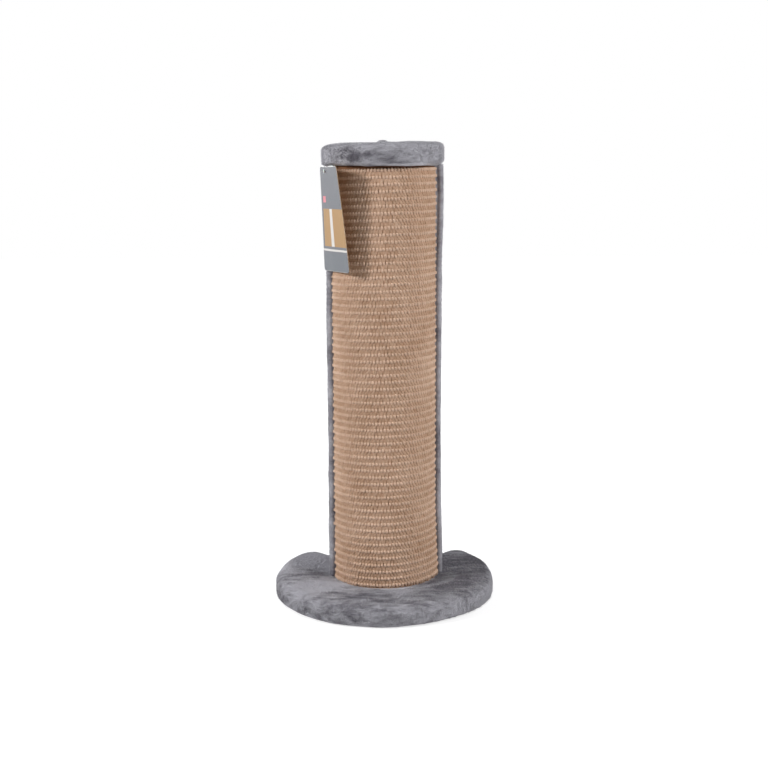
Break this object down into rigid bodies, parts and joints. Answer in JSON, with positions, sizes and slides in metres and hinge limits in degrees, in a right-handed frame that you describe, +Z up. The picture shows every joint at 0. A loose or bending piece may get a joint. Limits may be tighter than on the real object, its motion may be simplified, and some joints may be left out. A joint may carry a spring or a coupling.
{
  "type": "corner cat scratcher",
  "caption": "Corner cat scratcher: three-quarter round post with ribbed sisal on its front and a right-angled notch down its back, on a notched plush foot under a plush cap.",
  "frame": {"origin": "foot of the wall corner's edge that the notch fits over, which is also the post's axis, at floor level", "axes": "+Z up along the post, +Y into the wall corner that the notch hugs, +X to the right as the carpet is faced"},
  "size_m": [0.242, 0.1985, 0.505],
  "materials": {
    "grey_plush": "short-pile plush, brushed in patches",
    "sisal": "coarse ribbed sisal weave",
    "nonwoven": "thin black non-woven sheet",
    "particle_board": "raw particle board",
    "fibre_board": "raw medium-density fibreboard",
    "beech": "smooth beech dowel",
    "paperboard": "spiral-wound paperboard",
    "zinc_steel": "zinc-plated steel",
    "staple_wire": "galvanised wire",
    "grey_cover_plastic": "moulded grey plastic",
    "printed_card": "satin card printed in plain colour blocks",
    "clear_nylon": "moulded nylon"
  },
  "bodies": {
    "stand": {"base_board": "particle_board", "base_plush_cover": "grey_plush", "base_backing_sheet": "nonwoven", "base_staples": "staple_wire", "bolts": "zinc_steel", "square_nuts": "zinc_steel", "bottom_plate": "particle_board", "top_plate": "particle_board", "left_notch_board": "fibre_board", "right_notch_board": "fibre_board", "frame_brads": "staple_wire", "post_shell": "paperboard", "sisal_carpet": "sisal", "post_plush_wrap": "grey_plush", "cap_board": "particle_board", "cap_plush_cover": "grey_plush", "cap_staples": "staple_wire", "cap_dowels": "beech", "cap_bolt_cover": "grey_cover_plastic"},
    "tag": {"tag_card": "printed_card", "tag_pin": "clear_nylon"}
  },
  "joints": [
    {"name": "tag_swing", "type": "hinge", "parent": "stand", "child": "tag", "pos_m": [-0.05415, -0.02958, 0.4765], "axis": [-0.4067, 0.9135, 0], "range_deg": [0, 50]}
  ]
}
